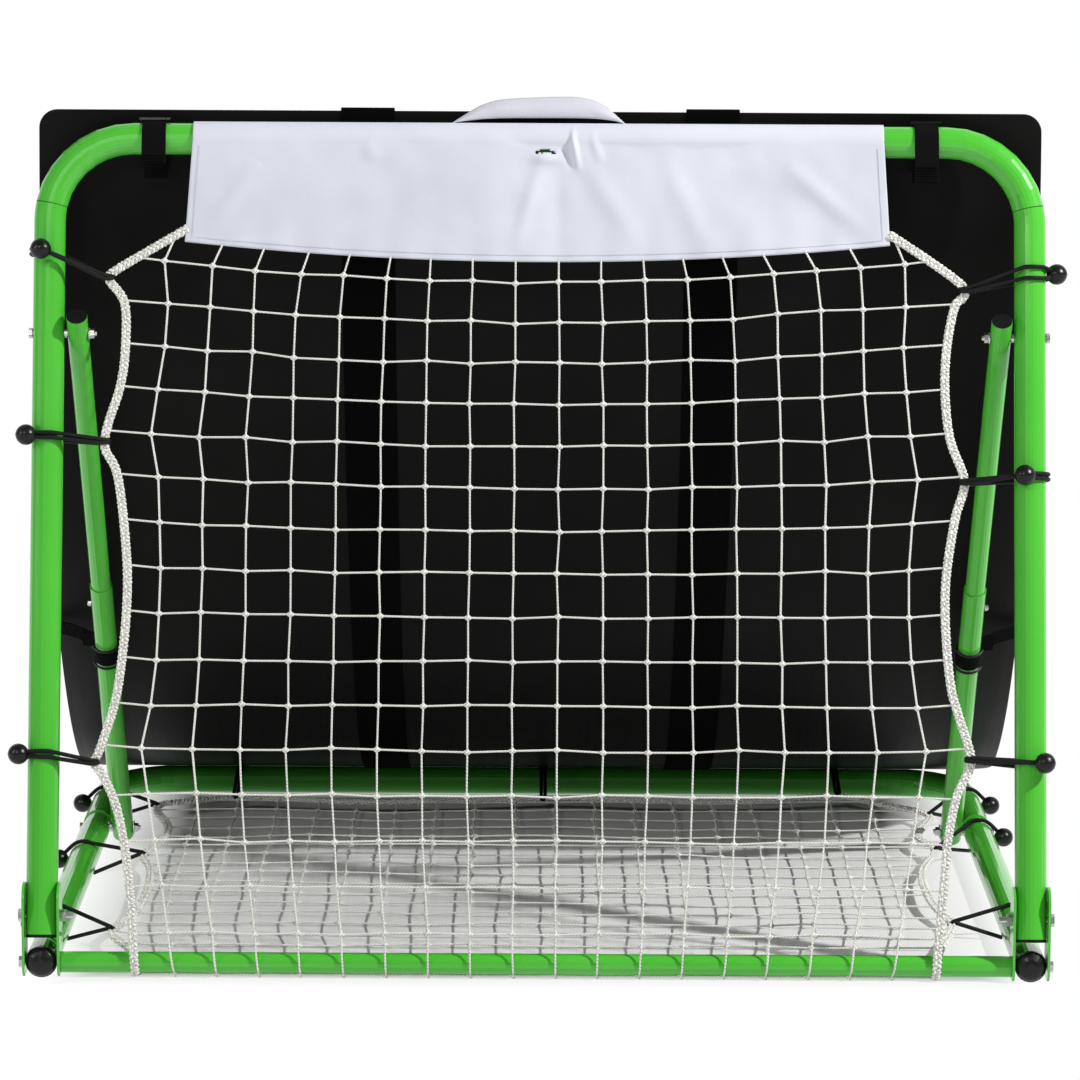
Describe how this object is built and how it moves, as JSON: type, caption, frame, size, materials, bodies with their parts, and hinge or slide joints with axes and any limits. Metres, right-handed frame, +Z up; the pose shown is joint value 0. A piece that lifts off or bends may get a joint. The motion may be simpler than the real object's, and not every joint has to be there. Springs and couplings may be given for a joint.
{
  "type": "ball rebounder net",
  "caption": "Folding steel tube rebounder: leaning ball net on a floor frame with telescopic struts, bungee ties, ground net and a curved return sheet.",
  "frame": {"origin": "on the floor, at the middle of the object's footprint", "axes": "+X to the right seen from the playing side, +Y from the leaning net back to the rear bar, +Z up; metres"},
  "size_m": [1.2698, 1.1168, 1.0375],
  "materials": {
    "green_powder_coat": "gloss powder coat",
    "black_plastic": "satin",
    "zinc_plate": "zinc plated",
    "white_fabric": "knotted twine and canvas, off white",
    "black_elastic": "fabric covered elastic with plastic balls",
    "black_sheet": "soft gloss flexible sheet",
    "black_webbing": "matte woven webbing"
  },
  "bodies": {
    "base": {"base_rear_bow": "green_powder_coat", "front_crossbar": "green_powder_coat", "base_side_tube_l": "green_powder_coat", "base_side_tube_r": "green_powder_coat", "hinge_plate_outer_l": "green_powder_coat", "hinge_plate_outer_r": "green_powder_coat", "hinge_plate_inner_l": "green_powder_coat", "hinge_plate_inner_r": "green_powder_coat", "base_end_cap_l": "black_plastic", "base_end_cap_r": "black_plastic", "crossbar_bolt_l": "zinc_plate", "crossbar_bolt_r": "zinc_plate", "pivot_bolt_l": "zinc_plate", "pivot_bolt_r": "zinc_plate", "strut_foot_bolt_l": "zinc_plate", "strut_foot_bolt_r": "zinc_plate", "ground_net": "white_fabric", "side_tie_l_1": "black_elastic", "side_tie_l_2": "black_elastic", "side_tie_l_3": "black_elastic", "side_tie_r_1": "black_elastic", "side_tie_r_2": "black_elastic", "side_tie_r_3": "black_elastic", "rear_tie_left": "black_elastic", "rear_tie_middle": "black_elastic", "rear_tie_right": "black_elastic", "rear_panel": "black_sheet", "panel_strip_l": "black_webbing", "panel_strip_r": "black_webbing"},
    "net_frame": {"top_bow": "green_powder_coat", "leg_tube_l": "green_powder_coat", "leg_tube_r": "green_powder_coat", "leg_plug_l": "black_plastic", "leg_plug_r": "black_plastic", "strut_top_bolt_l": "zinc_plate", "strut_top_bolt_r": "zinc_plate", "rebound_net": "white_fabric", "top_sleeve": "white_fabric", "carry_handle": "white_fabric", "hang_strap_l": "black_webbing", "hang_strap_r": "black_webbing", "strap_ring_l": "black_plastic", "strap_ring_r": "black_plastic", "leg_tie_l_1": "black_elastic", "leg_tie_l_2": "black_elastic", "leg_tie_l_3": "black_elastic", "leg_tie_r_1": "black_elastic", "leg_tie_r_2": "black_elastic", "leg_tie_r_3": "black_elastic"},
    "strut_upper_l": {"strut_upper_l": "green_powder_coat", "strut_cap_l": "black_plastic"},
    "strut_lower_l": {"strut_lower_l": "green_powder_coat", "strut_lock_screw_l": "zinc_plate", "side_strap_l": "black_webbing"},
    "strut_upper_r": {"strut_upper_r": "green_powder_coat", "strut_cap_r": "black_plastic"},
    "strut_lower_r": {"strut_lower_r": "green_powder_coat", "strut_lock_screw_r": "zinc_plate", "side_strap_r": "black_webbing"}
  },
  "joints": [
    {"name": "frame_tilt", "type": "hinge", "parent": "base", "child": "net_frame", "pos_m": [0, -0.534, 0.073], "axis": [1, 0, 0], "range_deg": [-12, 7], "deforming": ["rear_panel", "panel_strip_l", "panel_strip_r"]},
    {"name": "strut_swing_l", "type": "hinge", "parent": "net_frame", "child": "strut_upper_l", "pos_m": [-0.555, -0.37685, 0.7537], "axis": [1, 0, 0], "range_deg": [-4, 6.6]},
    {"name": "strut_slide_l", "type": "slide", "parent": "strut_upper_l", "child": "strut_lower_l", "axis": [0, 0.6148, -0.7887], "range_m": [-0.118, 0.069]},
    {"name": "strut_swing_r", "type": "hinge", "parent": "net_frame", "child": "strut_upper_r", "pos_m": [0.555, -0.37685, 0.7537], "axis": [1, 0, 0], "range_deg": [-4, 6.6]},
    {"name": "strut_slide_r", "type": "slide", "parent": "strut_upper_r", "child": "strut_lower_r", "axis": [0, 0.6148, -0.7887], "range_m": [-0.118, 0.069]}
  ],
  "couplings": [
    {"joint": "strut_swing_l", "follows": "frame_tilt", "ratio": -0.529},
    {"joint": "strut_slide_l", "follows": "frame_tilt", "m_per_rad": 0.552},
    {"joint": "strut_swing_r", "follows": "frame_tilt", "ratio": -0.529},
    {"joint": "strut_slide_r", "follows": "frame_tilt", "m_per_rad": 0.552}
  ]
}
